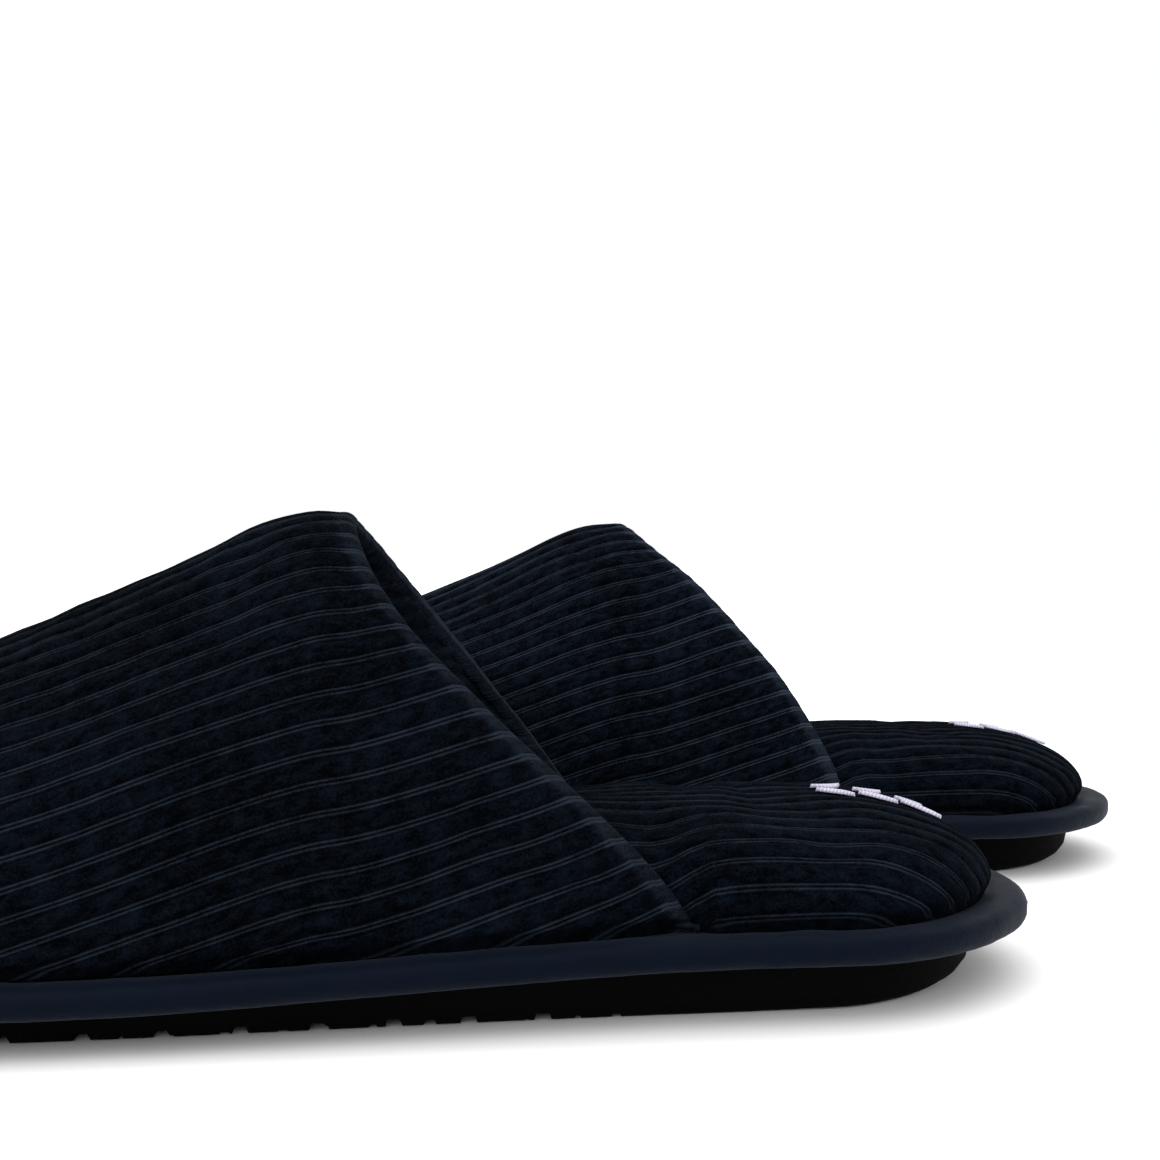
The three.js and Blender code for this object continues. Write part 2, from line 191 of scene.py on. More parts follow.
def bezier(points, count):
    t = np.linspace(0, 1, count)[:, None]
    a, b, c, d = (np.array(p, float) for p in points)
    return (1 - t) ** 3 * a + 3 * t * (1 - t) ** 2 * b + 3 * t * t * (1 - t) * c + t**3 * d


def wander(a, b, size, seed, side=SIDES[0], waves=8):
    """A smooth seeded ripple over two coordinates, about -1 to 1, with features of that size."""
    draw = np.random.default_rng(seed + SIDES.index(side))
    total = np.zeros(np.broadcast(a, b).shape)
    for _ in range(waves):
        heading, phase = draw.uniform(0, math.tau, 2)
        pace = math.tau / size * draw.uniform(0.55, 1.6)
        total += np.sin(pace * (a * math.cos(heading) + b * math.sin(heading)) + phase)
    return total / math.sqrt(waves)


def even_outline():
    """The outline as evenly spaced points from the heel tip, and the inward direction at each."""
    dense = np.vstack([bezier(piece, 200)[:-1] for piece in OUTLINE])
    closed = np.vstack([dense, dense[:1]])
    run = np.concatenate([[0], np.cumsum(np.linalg.norm(np.diff(closed, axis=0), axis=1))])
    at = np.linspace(0, run[-1], OUTLINE_POINTS, endpoint=False)
    points = np.column_stack([np.interp(at, run, closed[:, i]) for i in range(2)])
    ahead = np.roll(points, -1, axis=0) - np.roll(points, 1, axis=0)
    ahead /= np.linalg.norm(ahead, axis=1)[:, None]
    return points, np.column_stack([ahead[:, 1], -ahead[:, 0]])


PLAN, INWARD = even_outline()


def side_edges(inset):
    """The inset outline as two readings of across by along, lateral then medial."""
    points = PLAN + INWARD * inset
    toe = int(np.argmax(points[:, 0]))
    lateral = points[: toe + 1]
    medial = np.vstack([points[toe:], points[:1]])[::-1]
    return lateral, medial


def sole_height(along):
    return mix(size("sole_heel"), size("sole_fore"), smooth_step(*WEDGE, along))


def band_top(along):
    return sole_height(along) + BAND_HEIGHT


# ---- skins over the foot ----
class Skin:
    """A swept skin: at every station half a section from the ridge down to the binding, read by
    the length of cloth from the ridge, negative on the medial side."""

    def __init__(self, start, end, edge_at, crest, section):
        self.stations = eased(start, end, 420)
        lateral, medial = edge_at(self.stations)
        self.middle = (lateral + medial) / 2
        half = (lateral - medial) / 2
        base = band_top(self.stations)
        height = np.maximum(crest(self.stations) - base, 0.02)
        down = np.linspace(0, math.pi / 2, 240)[None, :]
        wall, square, ridge = (v[:, None] for v in section(self.stations))
        share = np.sin(down) ** (2 / square)
        upright = np.cos(down) ** (2 / square)
        fall = (np.hypot(share, ridge) - ridge) / (np.hypot(1, ridge) - ridge)
        level = wall * upright + (1 - wall) * (1 - fall)
        across, up = share * half[:, None], base[:, None] + level * height[:, None]
        step = np.hypot(np.diff(across, axis=1), np.diff(up, axis=1))
        run = np.concatenate([np.zeros((len(base), 1)), np.cumsum(step, axis=1)], axis=1)
        self.cloth = run[:, -1]
        self.shares = np.linspace(0, 1, 200)
        self.across = np.array(
            [np.interp(self.shares * r[-1], r, a) for r, a in zip(run, across)])
        self.up = np.array([np.interp(self.shares * r[-1], r, z) for r, z in zip(run, up)])

    def length(self, along):
        return np.interp(along, self.stations, self.cloth)

    def point(self, along, cloth):
        along = np.clip(along, self.stations[0], self.stations[-1])
        spot = np.interp(along, self.stations, np.arange(len(self.stations)))
        low = np.minimum(spot.astype(int), len(self.stations) - 2)
        part = spot - low
        share = np.clip(np.abs(cloth) / np.maximum(self.length(along), 1e-6), 0, 1)
        place = share * (len(self.shares) - 1)
        left = np.minimum(place.astype(int), len(self.shares) - 2)
        rest = place - left

        def read(grid):
            near = mix(grid[low, left], grid[low, left + 1], rest)
            far = mix(grid[low + 1, left], grid[low + 1, left + 1], rest)
            return mix(near, far, part)

        middle = np.interp(along, self.stations, self.middle)
        return np.stack([along, middle + np.sign(cloth) * read(self.across), read(self.up)], -1)

    def frame(self, along, cloth):
        """The outward normal and the direction toward the toe, at places on the skin."""
        gap = 0.6
        room = np.maximum(self.length(along) - gap, 0.0)
        inside = np.sign(cloth) * np.minimum(np.abs(cloth), room)
        onward = self.point(along + gap, inside) - self.point(along - gap, inside)
        around = self.point(along, inside + gap) - self.point(along, inside - gap)
        normal = np.cross(around, -onward)
        size = np.maximum(np.linalg.norm(normal, axis=-1, keepdims=True), 1e-9)
        onward /= np.maximum(np.linalg.norm(onward, axis=-1, keepdims=True), 1e-9)
        return normal / size, onward

    def raised(self, along, cloth, lift):
        """Places on the skin, moved outward."""
        return self.point(along, cloth) + self.frame(along, cloth)[0] * lift[:, None]


def vamp_crest(depth):
    apex, top = size("apex_at"), size("apex_height")
    cap = LENGTH - FLANGE - CAP_LENGTH
    slope = (top - CAP_HEIGHT) / (cap - apex)
    pull, tip = CAP_LENGTH / 2, LENGTH - FLANGE - depth
    low = float(band_top(LENGTH))
    end = bezier(((cap, CAP_HEIGHT), (cap + pull, CAP_HEIGHT - slope * pull),
                  (tip, low + pull), (tip, low)), 60)

    def height(along):
        past = along - apex
        extra = CREST_EASE * (1 - smooth_step(0.0, (cap - apex) * CREST_EASE_RUN, past))
        ridge = top + extra - slope * (np.hypot(past, CREST_ROUND) + past) / 2
        return np.where(along < cap, ridge, across_at(end, along)) - depth

    return height


def vamp_section(along):
    """Share of straight wall, squareness and roundness of the ridge, from the mouth's section
    to the roof over the toes and back to round at the tip."""
    roof = smooth_step(ROOF_START, ROOF_FULL, along) * (1 - smooth_step(ROOF_END, LENGTH, along))
    return [mix(mouth, full, roof) for mouth, full in zip(MOUTH_SECTION, ROOF_SECTION)]


def vamp_skin(depth):
    lines = side_edges(FLANGE + depth)

    def edges(along):
        return [across_at(line, along) for line in lines]

    return Skin(VAMP_START, lines[0][-1, 0] - TIP_GAP, edges, vamp_crest(depth), vamp_section)


def footbed_crest(along):
    crown = mix(size("crown_heel"), size("crown_fore"), smooth_step(*CROWN_FALL, along))
    from_end = np.minimum(along - FLANGE, LENGTH - FLANGE - WALL - along)
    rise = np.clip(from_end / CROWN_RISE, 0, 1)
    return band_top(along) + crown * np.sqrt(1 - (1 - rise) ** 2)


def footbed_skin():
    wide, narrow = side_edges(FLANGE), side_edges(FLANGE + WALL)

    def edges(along):
        return [mix(across_at(full, along), across_at(tight, along),
                    smooth_step(foot - 4, foot + 8, along))
                for full, tight, foot in zip(wide, narrow, FOOT.values())]

    def section(along):
        same = np.ones_like(along)
        return same, FOOTBED_SQUARENESS * same, same

    tip = narrow[0][-1, 0] - TIP_GAP
    return Skin(FLANGE + TIP_GAP, tip, edges, footbed_crest, section)


def rib_lift(along, rib):
    """Behind the apex the ribs keep climbing toward the mouth's edge by this much cloth."""
    behind = np.maximum(size("apex_at") - along, 0.0)
    rise = mix(*RIB_RISE, smooth_step(0, RIB_RISE_SPREAD, np.abs(rib)))
    return rise * (np.hypot(behind, RIB_RISE_EASE) - RIB_RISE_EASE)


def on_rib(along, rib):
    """The distance from the ridge, at a place along, of a rib named by where it starts."""
    return np.sign(rib) * np.maximum(np.abs(rib) - rib_lift(along, rib), 0.0)


def rib_at(along, cloth):
    """The rib that passes a place on the skin."""
    rib = cloth
    for _ in range(16):
        rib = cloth + rib_lift(along, rib)
    return rib


def mouth_starts(skin, ribs, slipper):
    """Where each rib begins at the mouth's edge."""
    apex, top = size("apex_at"), size("apex_height")
    starts = np.zeros_like(ribs)
    for side in (1, -1):
        foot = FOOT[side]
        low = float(band_top(foot))
        line = bezier(((foot, low - FOOT_SINK),
                       (foot + FOOT_LEAN[slipper][side], low + FOOT_RISE),
                       (apex - TOP_PULL[slipper][side], top - TOP_DROP[side]),
                       (apex, top + TOP_LIFT)), 90)
        reach = []
        for along, up in line:
            down = np.linspace(0, skin.length(along), 160)
            heights = skin.point(np.full(160, along), side * down)[:, 2]
            reach.append(rib_at(along, np.interp(-up, -heights, down)))
        reach = np.maximum.accumulate(np.array(reach)[::-1])
        edge = np.interp(np.abs(ribs), reach, line[::-1, 0])
        starts = np.where(np.sign(ribs) == side, edge, starts)
    return np.where(ribs == 0, apex, starts)


def toe_ends(skin, ribs):
    """Where each rib runs out at the binding, nowhere behind the foot of the mouth."""
    reach = rib_at(skin.stations, skin.cloth)
    falling = np.maximum.accumulate(reach[::-1])[::-1]
    return np.interp(-np.abs(ribs), -falling, skin.stations)


def longest_rib(skin):
    feet = np.array([FOOT[1], FOOT[-1]])
    return float(rib_at(feet, skin.length(feet)).max()) - 0.05


# ---- ribs ----
RIB_STOPS = (0.0, 0.035, 0.09, 0.17, 0.28, 0.39, 0.50, 0.58, 0.64, 0.675,
             0.715, 0.755, 0.79, 0.825, 0.865, 0.905, 0.95)


def rib_rows(reach):
    """Cloth distances of the rows: closely set over the fine cords, wider over the wale."""
    pitch = size("rib_pitch")
    count = int(math.ceil(reach / pitch))
    rows = [(k + stop) * pitch for k in range(-count, count) for stop in RIB_STOPS]
    inner = [row for row in rows if abs(row) < reach - 0.12]
    return np.array([-reach] + inner + [reach])


def rib_shape(cloth):
    """Height of the pile from 0 to 1: one broad wale, then two fine cords side by side."""
    pitch = size("rib_pitch")
    place = (cloth / pitch) % 1.0
    wale = np.clip(1 - np.abs(place / 0.3375 - 1) ** 2.6, 0, 1) ** 0.62
    cords = np.zeros_like(place)
    for centre in (0.755, 0.905):
        cords += np.clip(1 - (np.abs(place - centre) / 0.066) ** 2, 0, 1)
    return np.where(place < 0.675, wale, 0.0), cords


def rib_pile(rib):
    """Height of the pile in mm, and the share of the fine cords."""
    sizes = bpy.context.scene.slipper_sizes
    wale, cords = rib_shape(rib)
    return (sizes.wale_height * wale + sizes.cord_height * cords) / MM, cords


# ---- meshes ----
def grid_mesh(name, columns, rows, place):
    """A grid whose vertices are moved to place(column, row), which gives points in mm, and
    which may give cloth coordinates for the weave as well."""
    bm = bmesh.new()
    bmesh.ops.create_grid(bm, x_segments=columns - 1, y_segments=rows - 1, size=0.5)
    mesh = bpy.data.meshes.new(name)
    bm.to_mesh(mesh)
    bm.free()
    flat = np.zeros(len(mesh.vertices) * 3)
    mesh.vertices.foreach_get("co", flat)
    flat = flat.reshape(-1, 3)
    column = np.rint((flat[:, 0] + 0.5) * (columns - 1)).astype(int)
    row = np.rint((flat[:, 1] + 0.5) * (rows - 1)).astype(int)
    points, weave = place(column, row)
    mesh.vertices.foreach_set("co", (points * MM).ravel())
    if weave is not None:
        # The weave's third value is the share of painted highlight in the velour.
        layer = mesh.attributes.new("weave", "FLOAT_VECTOR", "POINT")
        layer.data.foreach_set("vector", weave.ravel())
    return mesh


# ---- cloth ----
def settle(name, place, columns, rows, cap):
    """Lets a coarse copy of a skin, held at its seams, swell and settle as cloth, and gives a
    reader of how far each place moved, by its shares of the columns and of the rows."""
    order = {}

    def laid(column, row):
        order["column"], order["row"] = column, row
        return place(column / (columns - 1), row / (rows - 1)), None

    mesh = grid_mesh(name, columns, rows, laid)
    column, row = order["column"], order["row"]
    start = np.zeros(len(mesh.vertices) * 3)
    mesh.vertices.foreach_get("co", start)
    scene = bpy.context.scene
    piece = bpy.data.objects.new(name, mesh)
    scene.collection.objects.link(piece)
    held = piece.vertex_groups.new(name="held")
    seam = (column == 0) | (column == columns - 1) | (row == 0) | (row == rows - 1)
    held.add(np.flatnonzero(seam).tolist(), 1.0, "ADD")
    cloth = piece.modifiers.new("Swell", "CLOTH")
    cloth.collision_settings.use_collision = False
    cloth.settings.vertex_group_mass = "held"
    cloth.settings.quality = CLOTH_QUALITY
    cloth.settings.shrink_min = CLOTH_EASE
    cloth.settings.use_pressure = True
    cloth.settings.uniform_pressure_force = CLOTH_PRESSURE
    cloth.settings.effector_weights.gravity = 0.0
    for step in range(1, CLOTH_FRAMES + 1):
        scene.frame_set(step)
    shown = piece.evaluated_get(bpy.context.evaluated_depsgraph_get())
    end = np.zeros(len(start))
    shown.data.vertices.foreach_get("co", end)
    moved = np.zeros((columns, rows, 3))
    moved[column, row] = ((end - start) / MM).reshape(-1, 3)
    size = np.maximum(np.linalg.norm(moved, axis=2, keepdims=True), 1e-6)
    moved *= np.tanh(size / cap) * cap / size
    bpy.data.objects.remove(piece)
    bpy.data.meshes.remove(mesh)
    scene.frame_set(1)

    def reader(u, v):
        u, v = np.clip(u, 0, 1) * (columns - 1), np.clip(v, 0, 1) * (rows - 1)
        low, left = (np.minimum(a.astype(int), n - 2) for a, n in ((u, columns), (v, rows)))
        across, along = (v - left)[:, None], (u - low)[:, None]
        near = mix(moved[low, left], moved[low, left + 1], across)
        far = mix(moved[low + 1, left], moved[low + 1, left + 1], across)
        return mix(near, far, along)

    return reader


def heel_of(side):
    """Where the heel tip of a slipper's last stands."""
    low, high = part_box(f"{side}_rim_binding")
    outer = BALL_LATERAL * MM
    return high.x, (low.y + outer if side == "left" else high.y - outer)


def finish_mesh(mesh, side, flip):
    """Moves a mesh from its own slipper's frame to its place, mirrored for the right foot."""
    bm = bmesh.new()
    bm.from_mesh(mesh)
    heel_x, middle_y = heel_of(side)
    mirror = -1 if side == "left" else 1
    for vertex in bm.verts:
        vertex.co = (heel_x - vertex.co.x, middle_y + mirror * vertex.co.y, vertex.co.z)
    bmesh.ops.remove_doubles(bm, verts=bm.verts, dist=2e-6)
    bmesh.ops.dissolve_degenerate(bm, dist=1e-6, edges=bm.edges)
    if (side == "right") != flip:
        bmesh.ops.reverse_faces(bm, faces=bm.faces)
    for face in bm.faces:
        face.smooth = True
    bm.to_mesh(mesh)
    bm.free()
    mesh.update()


def add_piece(name, mesh, side, nodes, material, thickness=0.0, flip=False):
    """A piece on one slipper, with a wall of that many mm on its inner face."""
    finish_mesh(mesh, side, flip)
    piece = bpy.data.objects.new(f"{side}_{name}", mesh)
    bpy.context.scene.collection.objects.link(piece)
    mesh.materials.append(material)
    if thickness:
        wall = piece.modifiers.new("Wall", "SOLIDIFY")
        wall.thickness = thickness * MM
        wall.offset = -1.0
    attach(piece, f"{side}_slipper")
    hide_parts(*(f"{side}_{node}" for node in nodes))
    return piece


def vamp_layers(side):
    """The outer skin, its rows of cloth, and where each row begins and ends."""
    skin = vamp_skin(0.0)
    rows = rib_rows(longest_rib(skin))
    starts = mouth_starts(skin, rows, side)
    return skin, rows, starts, np.maximum(toe_ends(skin, rows), starts)


def vamp_mesh(side):
    skin, rows, starts, ends = vamp_layers(side)
    roll = size("edge_round")
    arc = np.linspace(ROLL_TURN, 0, ROLL_STEPS + 1)[:-1]
    columns = len(arc) + VAMP_COLUMNS
    span = rows[-1] * VAMP_CLOTH_SPAN

    def coarse(u, v):
        rib = span * (v * 2 - 1)
        along = mix(np.interp(rib, rows, starts), np.interp(rib, rows, ends), u)
        cloth = on_rib(along, rib)
        return skin.raised(along, cloth, 0.3 * wander(along, cloth, 30.0, 81, side))

    swell = settle(f"{side}_vamp_cloth", coarse, **VAMP_CLOTH)

    def place(column, row):
        rib, start, end = rows[row], starts[row], ends[row]
        rolling = column < len(arc)
        angle = np.where(rolling, arc[np.minimum(column, len(arc) - 1)], 0.0)
        share = np.clip((column - len(arc)) / (VAMP_COLUMNS - 1), 0, 1)
        share = mix(share, share**1.4, 0.5)
        reach = np.maximum(end - start, 0.0)
        back = np.minimum(roll, reach * 0.3)
        along = start + back + share * (reach - back)
        cloth = on_rib(along, rib)
        base = skin.point(along, cloth)
        normal, onward = skin.frame(along, cloth)
        from_edge = along - start
        from_rim = np.minimum(end - along, skin.length(along) - np.abs(cloth))
        seam = smooth_step(0.0, 3.0, from_rim)
        pile, cords = rib_pile(rib)
        pile *= mix(0.15, 1.0, seam) * mix(0.55, 1.0, smooth_step(1.0, 14.0, from_edge))
        soft = 0.4 * wander(along, cloth, 52.0, 11, side) * smooth_step(2, 22, from_edge)
        soft += 0.13 * wander(along, cloth, 15.0, 21, side)
        gathers = wander(along, cloth * 0.1, 16.0, 31, side)
        soft += 0.5 * gathers * (1 - smooth_step(0, 11, from_edge))
        soft *= smooth_step(0.0, 8.0, from_rim)
        tuck = -1.5 * (1 - smooth_step(0.0, 2.2, from_rim))
        curl = -2.2 * np.exp(-((from_edge / 8.5) ** 2))
        lift = pile + soft + tuck + curl
        centre = base + normal * (lift - back)[:, None]
        swing = np.cos(angle)[:, None] * normal - np.sin(angle)[:, None] * onward
        points = np.where(rolling[:, None], centre + swing * back[:, None],
                          base + normal * lift[:, None])
        points[:, 2] -= SEAM_SINK * (1 - smooth_step(0.0, SEAM_SINK_RUN, from_rim))
        settled = smooth_step(0.0, 6.0, np.minimum(from_edge, from_rim))[:, None]
        points += swell((along - start) / np.maximum(reach, 1e-6), rib / span / 2 + 0.5) * settled
        # Painted highlight along the turned mouth edge: a light line where the cloth turns and a
        # lighter roll, added to the cords' painted highlight in the weave's third value.
        fold_highlight = 0.7 * np.exp(-((from_edge - back) / 1.2) ** 2) * (angle < 1.9)
        fold_highlight += 0.62 * smooth_step(1.2, 2.2, angle)
        cords = cords * (1 - smooth_step(0.9, 1.7, angle))
        weave = np.column_stack([rib * MM, (along - np.sin(angle) * roll) * MM, cords + fold_highlight])
        return points, weave

    return grid_mesh(f"{side}_vamp_cover", columns, len(rows), place)


def lining_mesh(side):
    skin = vamp_skin(LINING_DEPTH)
    rows = np.linspace(-1, 1, LINING_ROWS) * longest_rib(skin)
    starts = mouth_starts(skin, rows, side)
    ends = np.maximum(toe_ends(skin, rows), starts)

    def place(column, row):
        share = column / (LINING_COLUMNS - 1)
        along = mix(np.minimum(starts[row] + LINING_START, ends[row]), ends[row], share)
        cloth = on_rib(along, rows[row])
        pile = 0.35 * wander(along, cloth, 9.0, 41, side) + 0.5 * wander(along, cloth, 30.0, 43)
        points = skin.raised(along, cloth, pile)
        return points, np.column_stack([cloth * MM, along * MM, 0 * cloth])

    return grid_mesh(f"{side}_lining", LINING_COLUMNS, len(rows), place)


def hem_mesh(side):
    """The strip of the cover's own cloth turned to the inside of the mouth."""
    skin, rows, starts, ends = vamp_layers(side)
    roll = size("edge_round")
    rows, starts, ends = rows[::2], starts[::2], ends[::2]

    def place(column, row):
        rib, start, end = rows[row], starts[row], ends[row]
        share = column / (HEM_COLUMNS - 1)
        reach = np.maximum(end - start, 0)
        back = np.minimum(roll, reach * 0.3)
        along = start + back * 0.6 + share * np.minimum(HEM_WIDTH, reach * 0.8)
        cloth = on_rib(along, rib)
        wale, _ = rib_shape(rib)
        swell = 0.9 * np.sin(math.pi * np.clip(share * 1.02, 0, 1)) ** 0.6
        pucker = 0.5 * wander(cloth * 1.4, along * 0.35, 6.5, 51, side) * np.sin(math.pi * share)
        inset = 2 * back + swell + pucker + 0.4 * wale
        points = skin.raised(along, cloth, -(inset + 0.9))
        # Painted light over the hem: a steady share of the lighter highlight colour, a little more
        # where the hem swells.
        return points, np.column_stack([rib * MM, along * MM, 0.55 + 0.1 * swell])

    return grid_mesh(f"{side}_mouth_hem", HEM_COLUMNS, len(rows), place)


def footbed_mesh(side):
    skin = footbed_skin()
    rows = rib_rows(float(skin.cloth.max()))
    stations = eased(skin.stations[0], skin.stations[-1], FOOTBED_COLUMNS)
    first, last = stations[0] + FOOTBED_CLOTH_EDGE, stations[-1] - FOOTBED_CLOTH_EDGE
    even = [across_at(line, stations) for line in side_edges(FLANGE)]
    drift = np.interp(stations, skin.stations, skin.middle) - (even[0] + even[1]) / 2

    def coarse(u, v):
        along = mix(first, last, u)
        cloth = skin.length(along) * (v * 2 - 1)
        return skin.raised(along, cloth, 0.2 * wander(along, cloth, 30.0, 91, side))

    swell = settle(f"{side}_footbed_cloth", coarse, **FOOTBED_CLOTH)

    def place(column, row):
        along = stations[column]
        reach = skin.length(along)
        cloth = np.clip(rows[row] - drift[column], -reach, reach)
        rib = cloth + drift[column]
        from_rim = np.minimum(reach - np.abs(cloth), along - FLANGE)
        seam = smooth_step(0.0, 3.5, from_rim)
        shown = 1 - smooth_step(*HIDDEN_FROM, along)
        pile, cords = rib_pile(rib)
        pile *= mix(0.1, 0.8, seam)
        soft = 0.35 * wander(along, cloth, 44.0, 61, side) + 0.12 * wander(along, cloth, 14.0, 63)
        tuck = -1.3 * (1 - smooth_step(0.0, 2.4, from_rim))
        from_motif = np.hypot((along - MOTIF_MIDDLE) / MOTIF_REACH[0], cloth / MOTIF_REACH[1])
        calm = smooth_step(0.6, 1.3, from_motif)
        lift = pile * shown + soft * calm * smooth_step(0, 9, from_rim) + tuck
        points = skin.raised(along, cloth, lift)
        points[:, 2] -= SEAM_SINK * (1 - smooth_step(0.0, SEAM_SINK_RUN, from_rim))
        level = cloth / np.maximum(reach, 1e-6) / 2 + 0.5
        settled = (calm * smooth_step(0.0, 6.0, from_rim))[:, None]
        points += swell((along - first) / (last - first), level) * settled
        # The third value paints the highlight on the fine cords of the footbed.
        return points, np.column_stack([rib * MM, along * MM, cords])

    return grid_mesh(f"{side}_footbed", len(stations), len(rows), place)


def bow(start, count):
    """Reach outward and rise from -1 to 1 along the binding's rounded edge, from one end."""
    for turn in np.linspace(start * math.pi / 2, -start * math.pi / 2, count):
        yield (abs(math.cos(turn)) ** BAND_ROUND,
               math.copysign(abs(math.sin(turn)) ** BAND_ROUND, turn))


def band_profile():
    """The binding's section as inset and height above the sole, round its closed outside."""
    middle = outer = BAND_HEIGHT / 2
    inner = outer - BAND_WALL
    path = [(TURN_UNDER, 0.0), (11.0, 0.0), (6.0, 0.0)]
    for reach, rise in bow(-1, 15):
        path.append((3.1 - 3.1 * reach, middle + outer * rise))
    path += [(4.4, 5.6), (5.5, 5.5), (6.3, 5.25), (6.9, 4.95), (7.5, 4.72), (9.0, 4.62)]
    path += [(12.5, 4.6), (12.5, 4.35), (9.0, 4.36), (6.5, 4.5), (4.8, 4.68)]
    for reach, rise in bow(1, 9):
        path.append((3.3 - 2.3 * reach, middle + inner * rise))
    path += [(6.0, BAND_WALL), (11.0, BAND_WALL), (TURN_UNDER, BAND_WALL)]
    return np.array(path)


def binding_mesh(side):
    profile = band_profile()
    stride = OUTLINE_POINTS // BAND_COLUMNS

    def place(column, row):
        index = (column * stride) % OUTLINE_POINTS
        inset, rise = profile[row % len(profile), 0], profile[row % len(profile), 1]
        spot, inward = PLAN[index], INWARD[index]
        turn = index / OUTLINE_POINTS * math.tau
        ring_a, ring_b = 140 * np.cos(turn), 140 * np.sin(turn)
        outside = smooth_step(8.0, 1.0, inset)
        bulge = 0.12 * wander(ring_a + inset, ring_b + rise * 2, 26.0, 71, side)
        bulge += 0.06 * wander(ring_a * 1.7 + rise * 5, ring_b * 1.7, 7.0, 73, side)
        plan = spot + inward * (inset - bulge * outside)[:, None]
        up = sole_height(plan[:, 0]) + rise
        up += 0.1 * wander(ring_a, ring_b + inset, 18.0, 75, side) * smooth_step(4.7, 5.3, rise)
        points = np.column_stack([plan, up])
        return points, np.column_stack([index * 0.0009, (inset + rise) * MM, 0 * rise])

    return grid_mesh(f"{side}_binding", BAND_COLUMNS + 1, len(profile) + 1, place)


def sole_cuts(side):
    """Every cross groove and edge nick: its place along, width, depth, and the least share of
    the half width at which it cuts."""
    cuts = [(along, GROOVE_WIDTH, GROOVE_DEPTH, 0.0) for along in np.arange(*GROOVES)]
    draw = np.random.default_rng(NICK_SEED + SIDES.index(side))
    for along in np.arange(*NICKS):
        cuts.append((along + draw.uniform(-NICK_DRIFT, NICK_DRIFT), draw.uniform(*NICK_WIDTH),
                     draw.uniform(*NICK_DEPTH), 1.0))
    return cuts


def outsole_mesh(side):
    stations = list(eased(OUTSOLE_INSET, LENGTH - OUTSOLE_INSET, OUTSOLE_COLUMNS))
    cuts = sole_cuts(side)
    for centre, wide, *_ in cuts:
        stations += [centre + offset * wide for offset in (-0.5, -GROOVE_FLOOR, GROOVE_FLOOR, 0.5)]
    stations = np.array(sorted(stations))
    edges = {}
    for level in SOLE_LEVELS:
        curve = math.sqrt(max(0.0, 1 - (1 - min(level / 0.6, 1)) ** 2))
        edges[level] = [side_edges(OUTSOLE_INSET + draft * (1 - curve))
                        for draft in (DRAFT_FORE, DRAFT_HEEL)]
    path = [(-1.0, level) for level in SOLE_LEVELS[::-1]] + [(-0.6, 0.0), (0.0, 0.0), (0.6, 0.0)]
    path += [(1.0, level) for level in SOLE_LEVELS] + [(0.6, 1.0), (0.0, 1.0), (-0.6, 1.0)]
    path = np.array(path)

    def edge_of(level, along, index):
        toward_heel = 1 - smooth_step(*DRAFT_AT, along)
        found = []
        for curve in edges[level]:
            inside = np.clip(along, curve[index][0, 0], curve[index][-1, 0])
            found.append((inside, across_at(curve[index], inside)))
        return [mix(fore, heel, toward_heel) for fore, heel in zip(*found)]

    def place(column, row):
        along = stations[column]
        share, level = path[row % len(path), 0], path[row % len(path), 1]
        out_x, out_y = np.zeros_like(along), np.zeros_like(along)
        for value in SOLE_LEVELS:
            here = level == value
            lateral = edge_of(value, along[here], 0)
            medial = edge_of(value, along[here], 1)
            part = (share[here] + 1) / 2
            out_x[here] = mix(medial[0], lateral[0], part)
            out_y[here] = mix(medial[1], lateral[1], part)
        top = sole_height(out_x) - SOLE_GAP
        cut = np.zeros_like(along)
        for centre, wide, deep, least in cuts:
            notch = 1 - smooth_step(GROOVE_FLOOR * wide, 0.5 * wide, abs(along - centre))
            cut = np.maximum(cut, deep * notch * (np.abs(share) >= least))
        floor = cut * (1 - smooth_step(0.1, 0.6, level))
        up = np.maximum(level * top, floor)
        return np.column_stack([out_x, out_y, up]), None

    return grid_mesh(f"{side}_outsole_tread", len(stations), len(path) + 1, place)


# ---- embroidery ----
LEAVES = [(along, side * LEAF_OUT, -side * LEAF_LEAN, *LEAF_SIZE)
          for along in LEAVES_AT for side in (1, -1)]


def cloth_over(skin, along, across):
    """The distance from the ridge of the place on a skin that is over a place in plan."""
    middle = np.interp(along, skin.stations, skin.middle)
    cloth = across - middle
    for _ in range(12):
        cloth = cloth + (across - skin.point(along, cloth)[..., 1])
    return cloth


